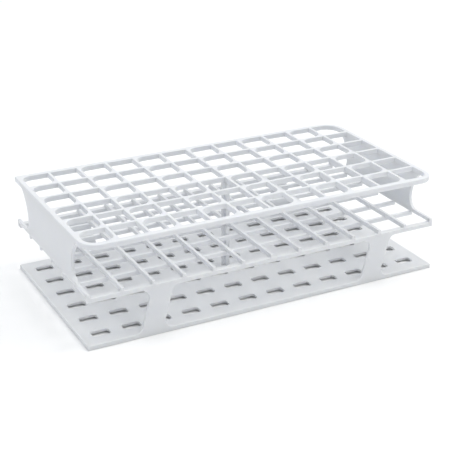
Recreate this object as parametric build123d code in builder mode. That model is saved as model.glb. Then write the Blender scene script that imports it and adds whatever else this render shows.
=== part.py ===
"""Three-tier moulded rack for 72 tubes of 16 mm, twelve columns by six rows.

Frame: +X along the twelve columns, +Y from the front to the rear, +Z up.
The origin is on the surface the rack stands on, under the middle of the rack.
All sizes are in millimetres.
"""
from build123d import *
import math
import os

os.makedirs("parts", exist_ok=True)

# ---------------------------------------------------------------- driving sizes
pitch = 19.7            # tube centre to tube centre, both ways
columns = 12
rows = 6

height = 65.4           # overall height
half_x = 121.2          # half length of the base, the widest tier
half_y = 61.8           # half depth of all three tiers

# top grid
top_grid_h = 3.5        # height of the top grid's rails and ribs
top_rib_t = 1.8         # thickness of a top rib
top_rail_t = 3.6        # width of the front and rear border rails
top_end_rail_t = 3.2    # width of the left and right border rails
top_corner_r = 11.0     # outer radius of the two front corners
top_rear_corner_r = 14.0  # outer radius of the rear right corner; the rear left one is square
rail_round = 0.8        # rounding of the rails' outer top edges

# middle grid: column ribs lie over the row ribs, in two layers
mid_half_x = 120.3
row_rib_half_x = 119.9   # the row ribs end just inside the lips
mid_rib_w = 2.0
mid_top = 35.8          # top of the column ribs
mid_layer = 33.2        # where the two layers meet
mid_bottom = 30.4       # underside of the row ribs and the front and rear rails

# end walls between the middle and the top tier
wall_t = 2.4
wall_half_y = 38.2      # half width at the waist
wall_r_top = 24.0       # hollow above the waist
wall_r_bottom = 7.0     # hollow below it

# legs between the base and the middle tier
leg_w = 14.0
leg_t = 2.0
leg_x = 76.7            # leg centre at half height
leg_lean = 0.267        # sideways shift for each millimetre of height
leg_r = 5.0

# centre posts, cross-shaped in section
post_w = 5.6
post_blade = 1.5

# base
base_h = 3.0            # thickness at the edge
base_skin = 1.9         # thickness of the slotted floor
base_rail_t = 2.0       # width of the edge rails that the rack stands on
slot_l = 11.4
slot_w = 6.6

# ---------------------------------------------------------------- derived sizes
grid_half_x = (columns * pitch - top_rib_t) / 2       # inner faces of the top border
grid_half_y = (rows * pitch - top_rib_t) / 2
top_half_x = grid_half_x + top_end_rail_t
top_bottom = height - top_grid_h
top_mid = height - top_grid_h / 2
leg_mid = (base_h + mid_bottom) / 2
rib_xs = [(i - columns / 2) * pitch for i in range(1, columns)]
rib_ys = [(i - rows / 2) * pitch for i in range(1, rows)]
cell_xs = [(i - (columns - 1) / 2) * pitch for i in range(columns)]
cell_ys = [(i - (rows - 1) / 2) * pitch for i in range(rows)]
straight_x = top_half_x - top_corner_r          # where the front corners begin
straight_y = half_y - top_corner_r
rear_straight_x = top_half_x - top_rear_corner_r  # where the rear right corner begins
rear_straight_y = half_y - top_rear_corner_r


def save(builder, name):
    builder.part.label = name
    export_step(builder.part, f"parts/{name}.step")


# ================================================================= base
# Edge rails, full height: the rack stands on them.
with BuildPart() as base_front_rail:
    with Locations((0, -half_y + base_rail_t / 2, base_h / 2)):
        Box(2 * half_x, base_rail_t, base_h)
    fillet(base_front_rail.edges().filter_by(Axis.X).group_by(Axis.Z)[-1].sort_by(Axis.Y)[0], 0.6)
save(base_front_rail, "base_front_rail")

with BuildPart() as base_rear_rail:
    with Locations((0, half_y - base_rail_t / 2, base_h / 2)):
        Box(2 * half_x, base_rail_t, base_h)
    fillet(base_rear_rail.edges().filter_by(Axis.X).group_by(Axis.Z)[-1].sort_by(Axis.Y)[-1], 0.6)
save(base_rear_rail, "base_rear_rail")

side_len = 2 * (half_y - base_rail_t)
with BuildPart() as base_left_rail:
    with Locations((-half_x + base_rail_t / 2, 0, base_h / 2)):
        Box(base_rail_t, side_len, base_h)
    fillet(base_left_rail.edges().filter_by(Axis.Y).group_by(Axis.Z)[-1].sort_by(Axis.X)[0], 0.6)
save(base_left_rail, "base_left_rail")

with BuildPart() as base_right_rail:
    with Locations((half_x - base_rail_t / 2, 0, base_h / 2)):
        Box(base_rail_t, side_len, base_h)
    fillet(base_right_rail.edges().filter_by(Axis.Y).group_by(Axis.Z)[-1].sort_by(Axis.X)[-1], 0.6)
save(base_right_rail, "base_right_rail")

# Floor between the slot rows: five slats a pitch apart and a narrower one along
# the front and the rear rail.
floor_len = 2 * (half_x - base_rail_t)
floor_z = base_h - base_skin / 2
edge_slat_w = (half_y - base_rail_t) - (cell_ys[-1] + slot_w / 2)
with BuildPart() as base_slats:
    with Locations(*[(0, y, floor_z) for y in rib_ys]):
        Box(floor_len, pitch - slot_w, base_skin)
    with Locations(*[(0, s * (cell_ys[-1] + slot_w / 2 + edge_slat_w / 2), floor_z) for s in (-1, 1)]):
        Box(floor_len, edge_slat_w, base_skin)
save(base_slats, "base_slats")

# Bridges between neighbouring slots of a row, and at the ends of each row.
end_bridge_w = (half_x - base_rail_t) - (cell_xs[-1] + slot_l / 2)
end_bridge_x = cell_xs[-1] + slot_l / 2 + end_bridge_w / 2
with BuildPart() as base_bridges:
    with Locations(*[(x, y, floor_z) for x in rib_xs for y in cell_ys]):
        Box(pitch - slot_l, slot_w, base_skin)
    with Locations(*[(s * end_bridge_x, y, floor_z) for s in (-1, 1) for y in cell_ys]):
        Box(end_bridge_w, slot_w, base_skin)
save(base_bridges, "base_bridges")


# ================================================================= legs
def leg_outline(x_mid, lean):
    """Leaning web between the base and the middle tier, flared at both ends."""
    z0, z1 = base_h, mid_bottom
    flange = 6.0
    xb = x_mid + lean * (z0 - leg_mid)
    xt = x_mid + lean * (z1 - leg_mid)
    reach_b = xb + lean * -flange
    reach_t = xt + lean * flange
    with BuildSketch(Plane.XY, mode=Mode.PRIVATE) as s:
        with BuildLine():
            Polyline(
                (reach_b - leg_w / 2, z0 - flange), (reach_b + leg_w / 2, z0 - flange),
                (reach_t + leg_w / 2, z1 + flange), (reach_t - leg_w / 2, z1 + flange),
                close=True)
        make_face()
        with Locations((xb, z0 - flange / 2)):
            Rectangle(leg_w + 30, flange)
        with Locations((xt, z1 + flange / 2)):
            Rectangle(leg_w + 30, flange)
        inner = [v for v in s.vertices()
                 if abs(v.X - (xb if v.Y < leg_mid else xt)) < leg_w / 2 + 1
                 and (abs(v.Y - z0) < 1e-4 or abs(v.Y - z1) < 1e-4)]
        fillet(inner, leg_r)
        with Locations((x_mid, leg_mid)):
            Rectangle(leg_w + 40, z1 - z0, mode=Mode.INTERSECT)
    return s.sketch


def make_leg(x_mid, lean, plane):
    with BuildPart() as leg:
        with BuildSketch(plane):
            add(leg_outline(x_mid, lean))
        extrude(amount=leg_t)
    return leg


front_plane = Plane.XZ.offset(half_y - leg_t)      # extrudes towards -Y, to the front face
rear_plane = Plane.XZ.offset(-half_y)              # extrudes from the rear face inwards

front_left_leg = make_leg(-leg_x, leg_lean, front_plane)
save(front_left_leg, "front_left_leg")
front_right_leg = make_leg(leg_x, leg_lean, front_plane)
save(front_right_leg, "front_right_leg")
rear_left_leg = make_leg(-leg_x, -leg_lean, rear_plane)
save(rear_left_leg, "rear_left_leg")
rear_right_leg = make_leg(leg_x, -leg_lean, rear_plane)
save(rear_right_leg, "rear_right_leg")

# ================================================================= centre posts
with BuildPart() as lower_center_post:
    with BuildSketch(Plane.XY.offset(base_h)):
        Rectangle(post_w, post_blade)
        Rectangle(post_blade, post_w)
    extrude(amount=mid_bottom - base_h)
save(lower_center_post, "lower_center_post")

with BuildPart() as upper_center_post:
    with BuildSketch(Plane.XY.offset(mid_top)):
        Rectangle(post_w, post_blade)
        Rectangle(post_blade, post_w)
    extrude(amount=top_bottom - mid_top)
save(upper_center_post, "upper_center_post")

# ================================================================= middle tier
low_h = mid_layer - mid_bottom
high_h = mid_top - mid_layer
low_z = (mid_layer + mid_bottom) / 2
high_z = (mid_top + mid_layer) / 2
mid_rail_y = half_y - top_rail_t / 2

with BuildPart() as middle_front_rail:
    with Locations((0, -mid_rail_y, low_z)):
        Box(2 * mid_half_x, top_rail_t, low_h)
save(middle_front_rail, "middle_front_rail")

with BuildPart() as middle_rear_rail:
    with Locations((0, mid_rail_y, low_z)):
        Box(2 * mid_half_x, top_rail_t, low_h)
save(middle_rear_rail, "middle_rear_rail")

with BuildPart() as middle_row_ribs:
    with Locations(*[(0, y, low_z) for y in rib_ys]):
        Box(2 * row_rib_half_x, mid_rib_w, low_h)
save(middle_row_ribs, "middle_row_ribs")

with BuildPart() as middle_column_ribs:
    with Locations(*[(x, 0, high_z) for x in rib_xs]):
        Box(mid_rib_w, 2 * half_y, high_h)
save(middle_column_ribs, "middle_column_ribs")

with BuildPart() as middle_left_lip:
    with Locations((-mid_half_x + mid_rib_w / 2, 0, high_z)):
        Box(mid_rib_w, 2 * half_y, high_h)
save(middle_left_lip, "middle_left_lip")

with BuildPart() as middle_right_lip:
    with Locations((mid_half_x - mid_rib_w / 2, 0, high_z)):
        Box(mid_rib_w, 2 * half_y, high_h)
save(middle_right_lip, "middle_right_lip")


# ================================================================= end walls
def wall_outline():
    """Upright wall with hollow C-shaped front and rear edges, flared into both tiers."""
    z0, z1 = mid_top, top_bottom
    waist_z = z0 + wall_r_bottom
    foot = wall_half_y + wall_r_bottom
    sweep = math.asin((z1 - waist_z) / wall_r_top)
    flare = wall_half_y + wall_r_top * (1 - math.cos(sweep))
    with BuildSketch(Plane.XY, mode=Mode.PRIVATE) as s:
        with BuildLine():
            CenterArc((foot, waist_z), wall_r_bottom, 180, 90)
            CenterArc((wall_half_y + wall_r_top, waist_z), wall_r_top, 180, -math.degrees(sweep))
            mirror(about=Plane.YZ)
            Line((-foot, z0), (foot, z0))
            Line((-flare, z1), (flare, z1))
        make_face()
    return s.sketch


with BuildPart() as left_end_wall:
    with BuildSketch(Plane.YZ.offset(-top_half_x)):
        add(wall_outline())
    extrude(amount=wall_t)
save(left_end_wall, "left_end_wall")

with BuildPart() as right_end_wall:
    with BuildSketch(Plane.YZ.offset(top_half_x - wall_t)):
        add(wall_outline())
    extrude(amount=wall_t)
save(right_end_wall, "right_end_wall")

# ================================================================= top tier
# Border rails between the corner pieces.
with BuildPart() as top_front_rail:
    with Locations((0, -half_y + top_rail_t / 2, top_mid)):
        Box(2 * straight_x, top_rail_t, top_grid_h)
    fillet(top_front_rail.edges().filter_by(Axis.X).group_by(Axis.Z)[-1].sort_by(Axis.Y)[0], rail_round)
save(top_front_rail, "top_front_rail")

with BuildPart() as top_rear_rail:
    with Locations(((rear_straight_x - straight_x) / 2, half_y - top_rail_t / 2, top_mid)):
        Box(rear_straight_x + straight_x, top_rail_t, top_grid_h)
    fillet(top_rear_rail.edges().filter_by(Axis.X).group_by(Axis.Z)[-1].sort_by(Axis.Y)[-1], rail_round)
save(top_rear_rail, "top_rear_rail")

with BuildPart() as top_left_rail:
    with Locations((-top_half_x + top_end_rail_t / 2, 0, top_mid)):
        Box(top_end_rail_t, 2 * straight_y, top_grid_h)
    fillet(top_left_rail.edges().filter_by(Axis.Y).group_by(Axis.Z)[-1].sort_by(Axis.X)[0], rail_round)
save(top_left_rail, "top_left_rail")

with BuildPart() as top_right_rail:
    with Locations((top_half_x - top_end_rail_t / 2, (rear_straight_y - straight_y) / 2, top_mid)):
        Box(top_end_rail_t, rear_straight_y + straight_y, top_grid_h)
    fillet(top_right_rail.edges().filter_by(Axis.Y).group_by(Axis.Z)[-1].sort_by(Axis.X)[-1], rail_round)
save(top_right_rail, "top_right_rail")


def border_outline(reach_x, reach_y, r_front, r_rear):
    """Rectangle with two round front corners, a rounder rear right one and a square rear left one."""
    with BuildSketch(Plane.XY, mode=Mode.PRIVATE) as s:
        Rectangle(2 * reach_x, 2 * reach_y)
        fillet(s.vertices().group_by(Axis.Y)[0], r_front)
        fillet([v for v in s.vertices() if abs(v.X - reach_x) < 1e-6 and abs(v.Y - reach_y) < 1e-6], r_rear)
    return s.sketch


# Corner pieces: three rounded, and the rear left one square, which marks the
# rack's orientation.
with BuildPart() as top_corners:
    with BuildSketch(Plane.XY.offset(top_bottom)):
        add(border_outline(top_half_x, half_y, top_corner_r, top_rear_corner_r))
        add(border_outline(grid_half_x, grid_half_y, top_corner_r - top_rail_t, top_rear_corner_r - top_rail_t), mode=Mode.SUBTRACT)
        with Locations((0, -half_y)):
            Rectangle(2 * straight_x, 4 * top_rail_t, mode=Mode.SUBTRACT)
        with Locations(((rear_straight_x - straight_x) / 2, half_y)):
            Rectangle(rear_straight_x + straight_x, 4 * top_rail_t, mode=Mode.SUBTRACT)
        with Locations((-top_half_x, 0)):
            Rectangle(4 * top_end_rail_t, 2 * straight_y, mode=Mode.SUBTRACT)
        with Locations((top_half_x, (rear_straight_y - straight_y) / 2)):
            Rectangle(4 * top_end_rail_t, rear_straight_y + straight_y, mode=Mode.SUBTRACT)
    extrude(amount=top_grid_h)
save(top_corners, "top_corners")

# Ribs, half-lapped like an egg crate: the column ribs are notched from below
# and the row ribs from above.
with BuildPart() as top_column_ribs:
    with Locations(*[(x, 0, top_mid) for x in rib_xs]):
        Box(top_rib_t, 2 * grid_half_y, top_grid_h)
    with Locations(*[(x, y, top_bottom + top_grid_h / 4) for x in rib_xs for y in rib_ys]):
        Box(top_rib_t, top_rib_t, top_grid_h / 2, mode=Mode.SUBTRACT)
save(top_column_ribs, "top_column_ribs")

with BuildPart() as top_row_ribs:
    with Locations(*[(0, y, top_mid) for y in rib_ys]):
        Box(2 * grid_half_x, top_rib_t, top_grid_h)
    with Locations(*[(x, y, height - top_grid_h / 4) for x in rib_xs for y in rib_ys]):
        Box(top_rib_t, top_rib_t, top_grid_h / 2, mode=Mode.SUBTRACT)
save(top_row_ribs, "top_row_ribs")
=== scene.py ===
import math

import bmesh
import bpy
from mathutils import Matrix, Vector


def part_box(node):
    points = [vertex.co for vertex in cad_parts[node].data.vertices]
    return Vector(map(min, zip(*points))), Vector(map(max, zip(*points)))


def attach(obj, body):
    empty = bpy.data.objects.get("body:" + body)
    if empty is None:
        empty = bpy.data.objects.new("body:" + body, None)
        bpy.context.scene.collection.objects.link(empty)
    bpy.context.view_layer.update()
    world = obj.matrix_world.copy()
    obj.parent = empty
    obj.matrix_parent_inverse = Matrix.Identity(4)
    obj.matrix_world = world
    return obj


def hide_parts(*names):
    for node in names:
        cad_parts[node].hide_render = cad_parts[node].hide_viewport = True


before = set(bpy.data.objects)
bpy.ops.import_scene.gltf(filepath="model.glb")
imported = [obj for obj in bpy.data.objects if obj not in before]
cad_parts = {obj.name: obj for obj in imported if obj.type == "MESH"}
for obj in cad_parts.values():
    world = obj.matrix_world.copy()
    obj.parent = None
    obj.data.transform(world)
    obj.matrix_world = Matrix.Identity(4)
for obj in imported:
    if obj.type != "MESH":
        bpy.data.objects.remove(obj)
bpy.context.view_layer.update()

MM = 0.001
SEG = 6            # steps in a quarter arc


# ------------------------------------------------------------------ CAD places, in mm
def cad(node):
    lo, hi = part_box(node)
    return [c / MM for c in lo], [c / MM for c in hi]


(_, fr_lo, _), (_, fr_hi, H) = cad("top_front_rail")
(TX0, TY0, TZ0), (TX1, TY1, TZ1) = cad("top_corners")
(CR0x, CR0y, _), (CR1x, CR1y, _) = cad("top_column_ribs")
(RR0x, RR0y, _), (RR1x, RR1y, _) = cad("top_row_ribs")
COLS, ROWS = 12, 6
RIB = (CR1x - CR0x) - (COLS - 2) * ((CR1x - CR0x) - (RR1y - RR0y)) / (COLS - 2 - (ROWS - 2))
PITCH = ((CR1x - CR0x) - RIB) / (COLS - 2)
GX, GY = RR1x, CR1y                       # inner faces of the top border
(BX0, BY0, _), (BX1, _, BZ1) = cad("base_front_rail")
BY1 = cad("base_rear_rail")[1][1]
BSKIN = cad("base_slats")[0][2]
(RX0, _, ML0), (RX1, _, ML1) = cad("middle_row_ribs")
MX0, MX1 = cad("middle_front_rail")[0][0], cad("middle_front_rail")[1][0]
(_, MY0, MH0), (_, MY1, MH1) = cad("middle_column_ribs")
STRIP_IN = cad("middle_front_rail")[1][1]
STRIP_Z0, STRIP_Z1 = cad("middle_front_rail")[0][2], cad("middle_front_rail")[1][2]
(LIPX0, _, LIP0), (LIPX1, _, LIP1) = cad("middle_left_lip")
RLIPX0, RLIPX1 = cad("middle_right_lip")[0][0], cad("middle_right_lip")[1][0]
(WX0, WY0, WZ0), (WX1, WY1, WZ1) = cad("left_end_wall")
RWX0, RWX1 = cad("right_end_wall")[0][0], cad("right_end_wall")[1][0]
LEG_T = cad("front_left_leg")[1][1] - cad("front_left_leg")[0][1]
POST = cad("upper_center_post")[1][0]

rib_x = [(i - COLS / 2) * PITCH for i in range(1, COLS)]
rib_y = [(i - ROWS / 2) * PITCH for i in range(1, ROWS)]
cell_x = [(i - (COLS - 1) / 2) * PITCH for i in range(COLS)]
cell_y = [(i - (ROWS - 1) / 2) * PITCH for i in range(ROWS)]


# ------------------------------------------------------------------ outline tools
def rounded(poly, radii, seg=SEG):
    """The polygon with each corner turned into an arc of its radius."""
    out, n = [], len(poly)
    for i, p in enumerate(poly):
        r = radii[i] if isinstance(radii, (list, tuple)) else radii
        p, a, b = Vector(p), Vector(poly[i - 1]), Vector(poly[(i + 1) % n])
        u, v = (a - p).normalized(), (b - p).normalized()
        if r <= 1e-6:
            out.append((p.x, p.y))
            continue
        half = math.acos(max(-1, min(1, u.dot(v)))) / 2
        d = min(r / math.tan(half), (a - p).length * 0.499, (b - p).length * 0.499)
        r = d * math.tan(half)
        centre = p + (u + v).normalized() * (r / math.sin(half))
        s, e = p + u * d - centre, p + v * d - centre
        a0 = math.atan2(s.y, s.x)
        sweep = (math.atan2(e.y, e.x) - a0 + math.pi) % (2 * math.pi) - math.pi
        steps = max(2, round(seg * abs(sweep) / (math.pi / 2)))
        for k in range(steps + 1):
            t = a0 + sweep * k / steps
            out.append((centre.x + r * math.cos(t), centre.y + r * math.sin(t)))
    return out


def rect(x0, x1, y0, y1, radii=0.0, seg=SEG):
    """Corners in the order lower left, lower right, upper right, upper left."""
    return rounded([(x0, y0), (x1, y0), (x1, y1), (x0, y1)], radii, seg)


def area(pts):
    return sum(a[0] * b[1] - b[0] * a[1] for a, b in zip(pts, pts[1:] + pts[:1])) / 2


def inset(pts, d):
    """Each point moved d into the material, which is on the left of the path."""
    if abs(d) < 1e-9:
        return list(pts)
    out, n = [], len(pts)
    for i, p in enumerate(pts):
        a, b = Vector(p) - Vector(pts[i - 1]), Vector(pts[(i + 1) % n]) - Vector(p)
        na, nb = Vector((-a.y, a.x)).normalized(), Vector((-b.y, b.x)).normalized()
        m = na + nb
        m = m / max(m.length_squared / 2, 0.3)
        out.append((p[0] + m.x * d, p[1] + m.y * d))
    return out


AXES = {
    "z": lambda u, v, w: (u, v, w),
    "y": lambda u, v, w: (u, w, v),
    "x": lambda u, v, w: (w, u, v),
}


def levels(w0, w1, r0, r1, draft=0.0, n=3):
    """(height, inset) pairs from w0 to w1 with rounded lips of radius r0 and r1. draft narrows a hole towards w0."""
    out = []
    for k in range(n + 1):
        t = math.pi / 2 * k / n
        out.append((w0 + r0 * (1 - math.cos(t)), r0 * (1 - math.sin(t)) - draft))
    for k in range(n, -1, -1):
        t = math.pi / 2 * k / n
        out.append((w1 - r1 * (1 - math.cos(t)), r1 * (1 - math.sin(t))))
    return out


def prism(bm, outer, holes, axis, w0, w1, r0=0.35, r1=0.35, hole_draft=0.0, hole_r1=None):
    """Adds a plate: outer outline and holes in its plane, from w0 to w1 across it, lips rounded."""
    place = AXES[axis]
    first, last = [], []
    for k, loop in enumerate([outer] + list(holes)):
        hole = k > 0
        loop = list(loop)
        if (area(loop) > 0) == hole:
            loop.reverse()
        top = r1 if not hole or hole_r1 is None else hole_r1
        rings = []
        for w, d in levels(w0, w1, r0, top, hole_draft if hole else 0.0):
            rings.append([bm.verts.new(Vector(place(u, v, w)) * MM) for u, v in inset(loop, d)])
        n = len(loop)
        for a, b in zip(rings, rings[1:]):
            for i in range(n):
                bm.faces.new((a[i], a[(i + 1) % n], b[(i + 1) % n], b[i]))
        for ring, into in ((rings[0], first), (rings[-1], last)):
            for i in range(n):
                into.append(bm.edges.get((ring[i], ring[(i + 1) % n])))
    for edges in (first, last):
        bmesh.ops.triangle_fill(bm, use_beauty=True, use_dissolve=False, edges=edges)


def bar(bm, x0, x1, y0, y1, z0, z1, r=0.3):
    """A bar with all its edges rounded."""
    made = bmesh.ops.create_cube(bm, size=1.0)
    for v in made["verts"]:
        v.co = Vector(((x0 + x1) / 2 + v.co.x * (x1 - x0), (y0 + y1) / 2 + v.co.y * (y1 - y0), (z0 + z1) / 2 + v.co.z * (z1 - z0))) * MM
    edges = list({e for v in made["verts"] for e in v.link_edges})
    bmesh.ops.bevel(bm, geom=edges, offset=r * MM, segments=3, profile=0.5, affect="EDGES")


def piece(name, bm, angle=40.0):
    bmesh.ops.recalc_face_normals(bm, faces=bm.faces)
    mesh = bpy.data.meshes.new(name)
    bm.to_mesh(mesh)
    bm.free()
    obj = bpy.data.objects.new(name, mesh)
    bpy.context.scene.collection.objects.link(obj)
    for p in mesh.polygons:
        p.use_smooth = True
    mesh.set_sharp_from_angle(angle=math.radians(angle))
    mod = obj.modifiers.new("weighted", "WEIGHTED_NORMAL")
    mod.keep_sharp = True
    mod.weight = 100
    return obj


# ------------------------------------------------------------------ material
def moulded_plastic(name, tint=(0.735, 0.747, 0.765)):
    """White polypropylene as it comes from the mould: a faint grain, soft gloss and slight flow marks."""
    mat = bpy.data.materials.new(name)
    mat.use_nodes = True
    nt = mat.node_tree
    n, l = nt.nodes, nt.links
    bsdf = n["Principled BSDF"]
    co = n.new("ShaderNodeTexCoord")
    cloud = n.new("ShaderNodeTexNoise")
    cloud.inputs["Scale"].default_value = 28.0
    cloud.inputs["Detail"].default_value = 3.0
    l.new(co.outputs["Object"], cloud.inputs["Vector"])
    stretch = n.new("ShaderNodeMapping")
    stretch.inputs["Scale"].default_value = (18.0, 160.0, 160.0)
    l.new(co.outputs["Object"], stretch.inputs["Vector"])
    flow = n.new("ShaderNodeTexNoise")
    flow.inputs["Scale"].default_value = 1.0
    flow.inputs["Detail"].default_value = 2.0
    l.new(stretch.outputs["Vector"], flow.inputs["Vector"])
    mix = n.new("ShaderNodeMix")
    mix.data_type = "FLOAT"
    mix.inputs["Factor"].default_value = 0.4
    l.new(cloud.outputs["Fac"], mix.inputs["A"])
    l.new(flow.outputs["Fac"], mix.inputs["B"])
    ramp = n.new("ShaderNodeValToRGB")
    ramp.color_ramp.elements[0].position = 0.3
    ramp.color_ramp.elements[1].position = 0.7
    ramp.color_ramp.elements[0].color = (tint[0] * 0.975, tint[1] * 0.98, tint[2] * 0.985, 1)
    ramp.color_ramp.elements[1].color = (min(tint[0] * 1.015, 1), min(tint[1] * 1.012, 1), min(tint[2] * 1.008, 1), 1)
    l.new(mix.outputs["Result"], ramp.inputs["Fac"])
    l.new(ramp.outputs["Color"], bsdf.inputs["Base Color"])
    rough = n.new("ShaderNodeMapRange")
    rough.inputs["To Min"].default_value = 0.34
    rough.inputs["To Max"].default_value = 0.5
    l.new(mix.outputs["Result"], rough.inputs["Value"])
    l.new(rough.outputs["Result"], bsdf.inputs["Roughness"])
    grain = n.new("ShaderNodeTexNoise")
    grain.inputs["Scale"].default_value = 2600.0
    grain.inputs["Detail"].default_value = 2.0
    l.new(co.outputs["Object"], grain.inputs["Vector"])
    wave = n.new("ShaderNodeTexNoise")
    wave.inputs["Scale"].default_value = 90.0
    wave.inputs["Detail"].default_value = 1.0
    l.new(co.outputs["Object"], wave.inputs["Vector"])
    bump0 = n.new("ShaderNodeBump")
    bump0.inputs["Strength"].default_value = 0.25
    bump0.inputs["Distance"].default_value = 0.00025
    l.new(wave.outputs["Fac"], bump0.inputs["Height"])
    bump = n.new("ShaderNodeBump")
    bump.inputs["Strength"].default_value = 0.12
    bump.inputs["Distance"].default_value = 0.00004
    l.new(grain.outputs["Fac"], bump.inputs["Height"])
    l.new(bump0.outputs["Normal"], bump.inputs["Normal"])
    l.new(bump.outputs["Normal"], bsdf.inputs["Normal"])
    bsdf.inputs["IOR"].default_value = 1.49
    bsdf.inputs["Subsurface Weight"].default_value = 0.5
    bsdf.inputs["Subsurface Radius"].default_value = (1.0, 1.0, 1.1)
    bsdf.inputs["Subsurface Scale"].default_value = 0.0026
    bsdf.inputs["Specular IOR Level"].default_value = 0.45
    return mat


WHITE = moulded_plastic("white_polypropylene")


def finish_piece(obj, *nodes):
    obj.data.materials.append(WHITE)
    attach(obj, "root")
    if nodes:
        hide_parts(*nodes)
    return obj


# ------------------------------------------------------------------ top tier
# One openwork plate: soft outer edge, three rounded corners and a square rear left
# one, and places whose rear left and front right corners are rounded in every
# other column.
CORNER, REAR_CORNER = 11.0, 14.0
RAIL = 3.6
bm = bmesh.new()
outer = rect(TX0, TX1, TY0, TY1, [CORNER, CORNER, REAR_CORNER, 1.0], 10)
holes = []
half = PITCH / 2 - RIB / 2
for ci, cx in enumerate(cell_x):
    for ri, cy in enumerate(cell_y):
        r = [0.8, 0.8, 0.8, 0.8]
        if ci % 2 == 0:
            r[3] = r[1] = 6.4
        if ri == 0 and ci == 0:
            r[0] = CORNER - RAIL
        if ri == 0 and ci == COLS - 1:
            r[1] = CORNER - RAIL
        if ri == ROWS - 1 and ci == COLS - 1:
            r[2] = REAR_CORNER - RAIL
        holes.append(rect(cx - half, cx + half, cy - half, cy + half, r))
prism(bm, outer, holes, "z", TZ0, TZ1, 0.45, 0.7, hole_draft=0.1, hole_r1=0.45)
top = piece("top_tier", bm)
finish_piece(top, "top_front_rail", "top_rear_rail", "top_left_rail", "top_right_rail", "top_corners", "top_column_ribs", "top_row_ribs")


# ------------------------------------------------------------------ end walls
def wall(name, x0, x1, r_top=24.0, r_bottom=7.0):
    """An upright wall with C-shaped front and rear edges, let a little way into both tiers."""
    z0, z1 = WZ0, WZ1
    ext = 0.8
    sweep = math.asin((z1 - z0 - r_bottom) / r_top)
    flare = WY1
    waist = flare - r_top * (1 - math.cos(sweep))
    zw = z0 + r_bottom
    edge = [(waist + r_bottom, z0 - ext)]
    for k in range(9):
        t = math.pi / 2 * (1 - k / 8)
        edge.append((waist + r_bottom - r_bottom * math.cos(t), zw - r_bottom * math.sin(t)))
    for k in range(1, 13):
        t = sweep * k / 12
        edge.append((waist + r_top - r_top * math.cos(t), zw + r_top * math.sin(t)))
    edge.append((flare, z1 + ext))
    pts = edge + [(-y, z) for y, z in reversed(edge)]
    bm = bmesh.new()
    prism(bm, pts, [], "x", x0, x1, 0.5, 0.5)
    return piece(name, bm)


finish_piece(wall("end_wall_left", WX0 + 0.02, WX1), "left_end_wall")
finish_piece(wall("end_wall_right", RWX0, RWX1 - 0.02), "right_end_wall")


# ------------------------------------------------------------------ front and rear frames
# The front strip of the middle tier, the two leaning legs and the front edge of
# the base are one flat frame; the column ribs end in it as low teeth.
def frame_outline(lean, legs):
    z0, z1, zs0, zs1, zt = 0.0, BZ1, STRIP_Z0, STRIP_Z1, MH1
    mid = (z1 + zs0) / 2
    w = 7.0
    pts, rad = [], []

    def p(x, z, r=0.0):
        pts.append((x, z)); rad.append(r)

    def at(x, z):
        return x + lean * (z - mid)

    # base edge
    p(BX0, z0, 0.3); p(BX1, z0, 0.3); p(BX1, z1, 0.6)
    # right of the right leg, up
    p(at(legs[1] + w, z1), z1, 5.0); p(at(legs[1] + w, zs0), zs0, 5.0)
    p(MX1, zs0, 0.4)
    # over the strip, right to left, with the teeth
    teeth = [(RLIPX0, MX1, True)] + [(x - 1.0, x + 1.0, False) for x in reversed(rib_x)] + [(MX0, LIPX1, True)]
    for x0, x1, end in teeth:
        if end and x0 > 0:
            p(x1, zt, 0.5); p(x0, zt, 0.5); p(x0, zs1, 0.9)
        elif end:
            p(x1, zs1, 0.9); p(x1, zt, 0.5); p(x0, zt, 0.5)
        else:
            p(x1, zs1, 0.9); p(x1, zt, 0.4); p(x0, zt, 0.4); p(x0, zs1, 0.9)
    p(MX0, zs0, 0.4)
    p(at(legs[0] - w, zs0), zs0, 5.0); p(at(legs[0] - w, z1), z1, 5.0)
    p(BX0, z1, 0.6)
    outer = rounded(pts, rad, 6)
    hole = rounded([(at(legs[0] + w, z1), z1), (at(legs[1] - w, z1), z1), (at(legs[1] - w, zs0), zs0), (at(legs[0] + w, zs0), zs0)], 5.0, 8)
    return outer, hole


LEG_X = (cad("front_right_leg")[1][0] + cad("front_right_leg")[0][0]) / 2
LEAN = 0.267
for side in ("front", "rear"):
    bm = bmesh.new()
    outer, hole = frame_outline(LEAN if side == "front" else -LEAN, (-LEG_X, LEG_X))
    if side == "front":
        prism(bm, outer, [hole], "y", BY0, BY0 + LEG_T, 0.35, 0.35)
    else:
        prism(bm, outer, [hole], "y", BY1 - LEG_T, BY1, 0.35, 0.35)
    finish_piece(piece(side + "_frame", bm), side + "_left_leg", side + "_right_leg", "base_" + side + "_rail", "middle_" + side + "_rail")

# ------------------------------------------------------------------ middle tier
E = 0.02
bm = bmesh.new()
for y in (BY0, BY1):
    s = 1 if y < 0 else -1
    a, b = sorted((y + s * 0.9, y + s * (abs(BY0) - abs(STRIP_IN))))
    bar(bm, MX0 + 0.3, MX1 - 0.3, a, b, STRIP_Z0 + E, STRIP_Z1 - E)
for y in rib_y:
    bar(bm, RX0, RX1, y - 1.0, y + 1.0, ML0, ML1)
finish_piece(piece("middle_rows", bm), "middle_row_ribs")
bm = bmesh.new()
for x in rib_x:
    bar(bm, x - 1.0 + E, x + 1.0 - E, BY0 + 0.9, BY1 - 0.9, MH0 - 0.4, MH1 - E)
finish_piece(piece("middle_columns", bm), "middle_column_ribs")
bm = bmesh.new()
bar(bm, LIPX0, LIPX1, BY0 + 0.9, BY1 - 0.9, LIP0, LIP1 - E)
finish_piece(piece("middle_lip_left", bm), "middle_left_lip")
bm = bmesh.new()
bar(bm, RLIPX0, RLIPX1, BY0 + 0.9, BY1 - 0.9, LIP0, LIP1 - E)
finish_piece(piece("middle_lip_right", bm), "middle_right_lip")


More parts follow.
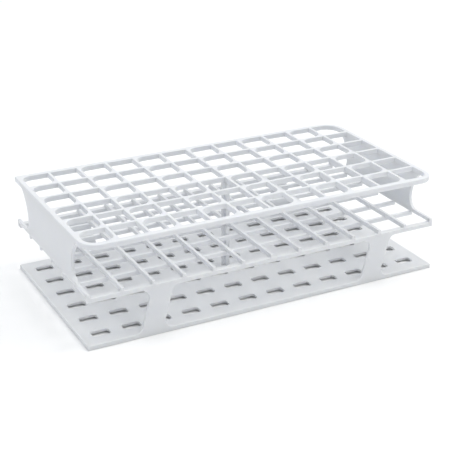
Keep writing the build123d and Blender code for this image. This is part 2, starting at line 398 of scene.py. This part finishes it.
# ------------------------------------------------------------------ centre posts
def post(name, z0, z1, node):
    b = 0.75
    pts = [(-b, -POST), (b, -POST), (b, -b), (POST, -b), (POST, b), (b, b), (b, POST), (-b, POST), (-b, b), (-POST, b), (-POST, -b), (-b, -b)]
    rad = [0.3, 0.3, 0.5] * 4
    bm = bmesh.new()
    prism(bm, rounded(pts, rad, 4), [], "z", z0, z1, 0.1, 0.1)
    return finish_piece(piece(name, bm), node)


post("post_upper", MH1 - 1.0, TZ0 + 1.0, "upper_center_post")
post("post_lower", BZ1 - 1.0, STRIP_Z0 + 1.0, "lower_center_post")

# ------------------------------------------------------------------ base
SL, SW = 11.4, 6.6
bm = bmesh.new()
holes = [rect(cx - SL / 2, cx + SL / 2, cy - SW / 2, cy + SW / 2, 1.7, 5) for cx in cell_x for cy in cell_y]
prism(bm, rect(BX0 + 0.05, BX1 - 0.05, BY0 + 0.9, BY1 - 0.9, 0.6), holes, "z", BSKIN, BZ1 - E, 0.1, 0.3, hole_draft=-0.25, hole_r1=0.12)
finish_piece(piece("base_floor", bm), "base_slats", "base_bridges")
for side, x0, x1 in (("left", BX0, BX0 + 2.0), ("right", BX1 - 2.0, BX1)):
    bm = bmesh.new()
    bar(bm, x0, x1, BY0 + 0.9, BY1 - 0.9, 0.0, BZ1, 0.35)
    finish_piece(piece("base_edge_" + side, bm), "base_" + side + "_rail")

# ------------------------------------------------------------------ camera
R = [[0.88696688, -0.46183066, 0.00148027], [-0.1829681, -0.35433791, -0.9170427], [0.42404296, 0.81311567, -0.39878628]]
C = (-0.316023, -0.605405, 0.328210)
cam_data = bpy.data.cameras.new("camera")
cam = bpy.data.objects.new("camera", cam_data)
bpy.context.scene.collection.objects.link(cam)
rot = Matrix([[R[0][i], -R[1][i], -R[2][i]] for i in range(3)])
cam.matrix_world = Matrix.Translation(C) @ rot.to_4x4()
cam_data.sensor_width = 36.0
cam_data.lens = 91.1807
cam_data.clip_start, cam_data.clip_end = 0.05, 20
bpy.context.scene.camera = cam

# ------------------------------------------------------------------ floor and light
floor_mesh = bpy.data.meshes.new("floor")
floor_mesh.from_pydata([(-9, -9, 0), (9, -9, 0), (9, 9, 0), (-9, 9, 0)], [], [(0, 1, 2, 3)])
floor = bpy.data.objects.new("floor", floor_mesh)
bpy.context.scene.collection.objects.link(floor)
fm = bpy.data.materials.new("floor")
fm.use_nodes = True
fb = fm.node_tree.nodes["Principled BSDF"]
fb.inputs["Base Color"].default_value = (0.93, 0.93, 0.93, 1)
fb.inputs["Roughness"].default_value = 0.8
fb.inputs["Specular IOR Level"].default_value = 0.2
floor.data.materials.append(fm)

world = bpy.data.worlds.new("world")
bpy.context.scene.world = world
world.use_nodes = True
world.node_tree.nodes["Background"].inputs["Color"].default_value = (0.92, 0.955, 1.0, 1)
world.node_tree.nodes["Background"].inputs["Strength"].default_value = 0.35


def softbox(name, loc, target, size, power, color=(1, 1, 1)):
    d = bpy.data.lights.new(name, "AREA")
    d.shape = "RECTANGLE"
    d.size, d.size_y = size
    d.energy = power
    d.color = color
    o = bpy.data.objects.new(name, d)
    bpy.context.scene.collection.objects.link(o)
    o.location = loc
    o.rotation_euler = (Vector(target) - Vector(loc)).to_track_quat("-Z", "Y").to_euler()
    return o


softbox("overhead", (0.15, 0.6, 2.2), (0.0, 0.35, 0), (3.2, 2.6), 43.0)
softbox("key", (1.3, -0.3, 1.35), (0, 0, 0.03), (0.6, 0.6), 9.5, (1.0, 0.988, 0.96))
softbox("left", (-1.35, 0.0, 1.35), (0, 0, 0.03), (1.2, 1.0), 6.5, (0.965, 0.98, 1.0))
softbox("front", (0.35, -1.5, 1.15), (0, 0, 0.03), (1.4, 0.8), 5.6, (1.0, 0.985, 0.945))

scene = bpy.context.scene
scene.view_settings.view_transform = "Standard"
scene.view_settings.look = "None"
scene.view_settings.exposure = 0.0
